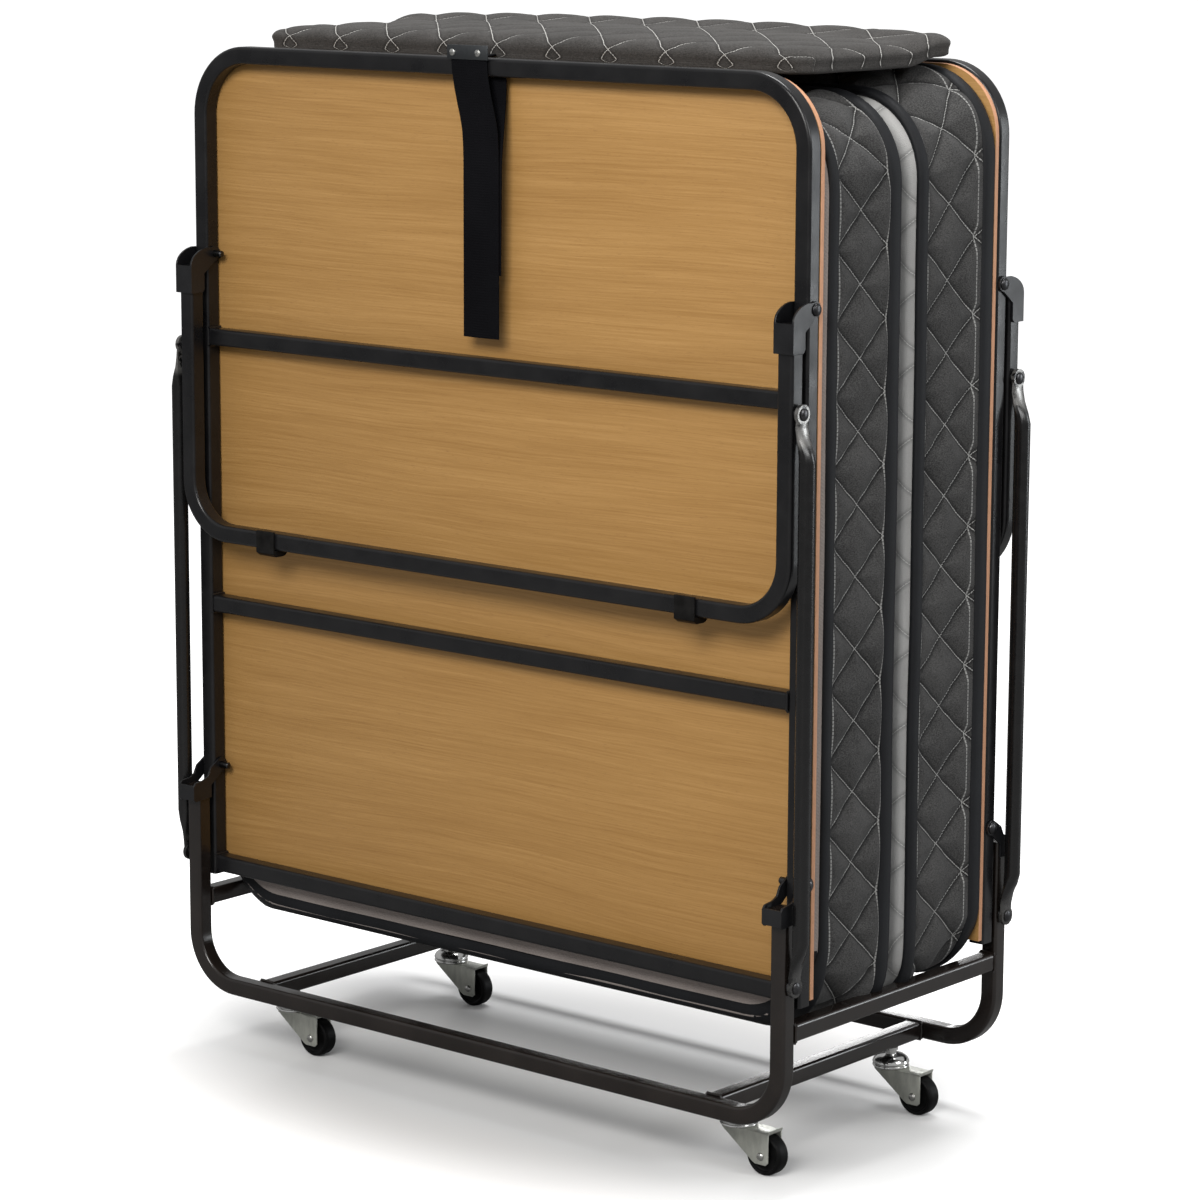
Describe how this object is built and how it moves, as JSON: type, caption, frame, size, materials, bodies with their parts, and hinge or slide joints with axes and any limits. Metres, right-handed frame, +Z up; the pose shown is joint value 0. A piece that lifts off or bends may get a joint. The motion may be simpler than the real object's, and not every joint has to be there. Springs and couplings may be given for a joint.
{
  "type": "folding cot",
  "caption": "Rollaway folding bed, stored upright on casters: two hinged halves with end legs, split mattress, headboard pad and closing strap.",
  "frame": {"origin": "on the floor, under the middle of the base, with the cot folded on its casters", "axes": "+X to the right along the cot's width, +Y from the front half to the rear half, +Z up"},
  "size_m": [0.945, 0.435, 1.237],
  "materials": {
    "frame_paint": "satin",
    "base_paint": "satin",
    "bracket_paint": "satin",
    "pin_steel": "satin",
    "beech_board": "satin",
    "cushion_cover": "matte",
    "foot_plastic": "matte",
    "caster_head": "polished",
    "fork_zinc": "satin",
    "wheel_black": "satin",
    "webbing": "matte"
  },
  "bodies": {
    "base": {"base_front_tube": "base_paint", "base_rear_tube": "base_paint", "base_upper_bar_left": "base_paint", "base_lower_bar_left": "base_paint", "front_post_bracket_left": "bracket_paint", "caster_head_front_left": "caster_head", "rear_post_bracket_left": "bracket_paint", "caster_head_rear_left": "caster_head", "base_upper_bar_right": "base_paint", "base_lower_bar_right": "base_paint", "front_post_bracket_right": "bracket_paint", "caster_head_front_right": "caster_head", "rear_post_bracket_right": "bracket_paint", "caster_head_rear_right": "caster_head"},
    "front_half": {"front_rail": "frame_paint", "front_crossbar_upper": "frame_paint", "front_crossbar_middle": "frame_paint", "front_crossbar_lower": "frame_paint", "front_board": "beech_board", "front_cushion": "cushion_cover", "front_fold_pin_left": "pin_steel", "front_leg_pin_left": "pin_steel", "front_fold_pin_right": "pin_steel", "front_leg_pin_right": "pin_steel"},
    "rear_half": {"rear_rail": "frame_paint", "rear_crossbar_upper": "frame_paint", "rear_crossbar_middle": "frame_paint", "rear_crossbar_lower": "frame_paint", "rear_board": "beech_board", "rear_cushion": "cushion_cover", "rear_fold_pin_left": "pin_steel", "rear_leg_pin_left": "pin_steel", "rear_fold_pin_right": "pin_steel", "rear_leg_pin_right": "pin_steel", "headboard_pad": "cushion_cover", "headboard_bracket": "bracket_paint", "strap_plate": "bracket_paint"},
    "front_leg": {"front_leg_tube": "frame_paint", "front_leg_bracket_left": "bracket_paint", "front_foot_left": "foot_plastic", "front_leg_bracket_right": "bracket_paint", "front_foot_right": "foot_plastic"},
    "rear_leg": {"rear_leg_tube": "frame_paint", "rear_leg_bracket_left": "bracket_paint", "rear_foot_left": "foot_plastic", "rear_leg_bracket_right": "bracket_paint", "rear_foot_right": "foot_plastic"},
    "strap": {"closing_strap": "webbing"},
    "front_link_arm_left": {"front_link_left": "frame_paint"},
    "front_link_arm_right": {"front_link_right": "frame_paint"},
    "rear_link_arm_left": {"rear_link_left": "frame_paint"},
    "rear_link_arm_right": {"rear_link_right": "frame_paint"},
    "caster_swivel_front_left": {"caster_fork_front_left": "fork_zinc"},
    "caster_roller_front_left": {"caster_wheel_front_left": "wheel_black"},
    "caster_swivel_front_right": {"caster_fork_front_right": "fork_zinc"},
    "caster_roller_front_right": {"caster_wheel_front_right": "wheel_black"},
    "caster_swivel_rear_left": {"caster_fork_rear_left": "fork_zinc"},
    "caster_roller_rear_left": {"caster_wheel_rear_left": "wheel_black"},
    "caster_swivel_rear_right": {"caster_fork_rear_right": "fork_zinc"},
    "caster_roller_rear_right": {"caster_wheel_rear_right": "wheel_black"}
  },
  "joints": [
    {"name": "front_fold", "type": "hinge", "parent": "base", "child": "front_half", "pos_m": [0, -0.1705, 0.342], "axis": [1, 0, 0], "range_deg": [0, 90], "deforming": ["front_cushion"]},
    {"name": "front_leg_swing", "type": "hinge", "parent": "front_half", "child": "front_leg", "pos_m": [0, -0.1705, 0.954], "axis": [1, 0, 0], "range_deg": [-90, 0]},
    {"name": "front_link_swing_left", "type": "hinge", "parent": "base", "child": "front_link_arm_left", "pos_m": [-0.456, -0.1965, 0.236], "axis": [1, 0, 0], "range_deg": [0, 90]},
    {"name": "front_link_swing_right", "type": "hinge", "parent": "base", "child": "front_link_arm_right", "pos_m": [0.456, -0.1965, 0.236], "axis": [1, 0, 0], "range_deg": [0, 90]},
    {"name": "rear_fold", "type": "hinge", "parent": "base", "child": "rear_half", "pos_m": [0, 0.1705, 0.342], "axis": [-1, 0, 0], "range_deg": [0, 90], "deforming": ["rear_cushion", "closing_strap"]},
    {"name": "rear_leg_swing", "type": "hinge", "parent": "rear_half", "child": "rear_leg", "pos_m": [0, 0.1705, 0.954], "axis": [-1, 0, 0], "range_deg": [-90, 0]},
    {"name": "rear_link_swing_left", "type": "hinge", "parent": "base", "child": "rear_link_arm_left", "pos_m": [-0.456, 0.1965, 0.236], "axis": [-1, 0, 0], "range_deg": [0, 90]},
    {"name": "rear_link_swing_right", "type": "hinge", "parent": "base", "child": "rear_link_arm_right", "pos_m": [0.456, 0.1965, 0.236], "axis": [-1, 0, 0], "range_deg": [0, 90]},
    {"name": "strap_hang", "type": "hinge", "parent": "rear_half", "child": "strap", "pos_m": [-0.0225, -0.1834, 1.1984], "axis": [-1, 0, 0], "range_deg": [-87, 0]},
    {"name": "caster_turn_front_left", "type": "hinge", "parent": "base", "child": "caster_swivel_front_left", "pos_m": [-0.34, -0.141, 0.05], "axis": [0, 0, 1], "continuous": true},
    {"name": "caster_roll_front_left", "type": "hinge", "parent": "caster_swivel_front_left", "child": "caster_roller_front_left", "pos_m": [-0.3, -0.141, 0.023], "axis": [0, 1, 0], "continuous": true},
    {"name": "caster_turn_front_right", "type": "hinge", "parent": "base", "child": "caster_swivel_front_right", "pos_m": [0.34, -0.141, 0.05], "axis": [0, 0, 1], "continuous": true},
    {"name": "caster_roll_front_right", "type": "hinge", "parent": "caster_swivel_front_right", "child": "caster_roller_front_right", "pos_m": [0.38, -0.141, 0.023], "axis": [0, 1, 0], "continuous": true},
    {"name": "caster_turn_rear_left", "type": "hinge", "parent": "base", "child": "caster_swivel_rear_left", "pos_m": [-0.34, 0.141, 0.05], "axis": [0, 0, 1], "continuous": true},
    {"name": "caster_roll_rear_left", "type": "hinge", "parent": "caster_swivel_rear_left", "child": "caster_roller_rear_left", "pos_m": [-0.3, 0.141, 0.023], "axis": [0, 1, 0], "continuous": true},
    {"name": "caster_turn_rear_right", "type": "hinge", "parent": "base", "child": "caster_swivel_rear_right", "pos_m": [0.34, 0.141, 0.05], "axis": [0, 0, 1], "continuous": true},
    {"name": "caster_roll_rear_right", "type": "hinge", "parent": "caster_swivel_rear_right", "child": "caster_roller_rear_right", "pos_m": [0.38, 0.141, 0.023], "axis": [0, 1, 0], "continuous": true}
  ],
  "couplings": [
    {"joint": "front_leg_swing", "follows": "front_fold", "ratio": -1},
    {"joint": "front_link_swing_left", "follows": "front_fold", "ratio": 1},
    {"joint": "front_link_swing_right", "follows": "front_fold", "ratio": 1},
    {"joint": "rear_leg_swing", "follows": "rear_fold", "ratio": -1},
    {"joint": "rear_link_swing_left", "follows": "rear_fold", "ratio": 1},
    {"joint": "rear_link_swing_right", "follows": "rear_fold", "ratio": 1},
    {"joint": "strap_hang", "follows": "rear_fold", "ratio": -0.96}
  ]
}
